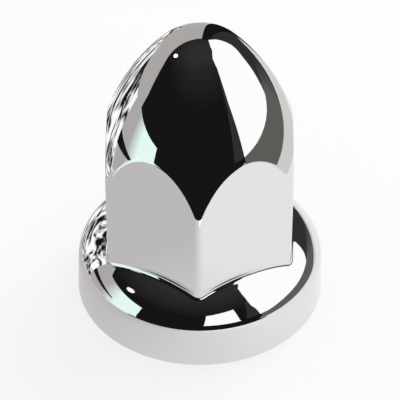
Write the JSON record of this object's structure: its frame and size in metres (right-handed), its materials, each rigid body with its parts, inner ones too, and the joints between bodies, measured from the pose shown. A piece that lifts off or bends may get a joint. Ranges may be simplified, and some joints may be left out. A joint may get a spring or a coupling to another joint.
{
  "type": "wheel nut cover cap",
  "caption": "Chrome-plated push-on cover for a flanged hexagonal wheel nut, with a bullet-shaped dome and a round flange.",
  "frame": {"origin": "middle of the flange's foot", "axes": "+Z along the cap's axis towards the nose, -Y to the front, where one corner of the hexagon faces, and +X to the right"},
  "size_m": [0.053, 0.053, 0.0635],
  "materials": {
    "chrome": "bright chrome plating on moulded ABS, mirror-smooth outside"
  },
  "bodies": {
    "root": {"nut_cover": "chrome"}
  },
  "joints": []
}
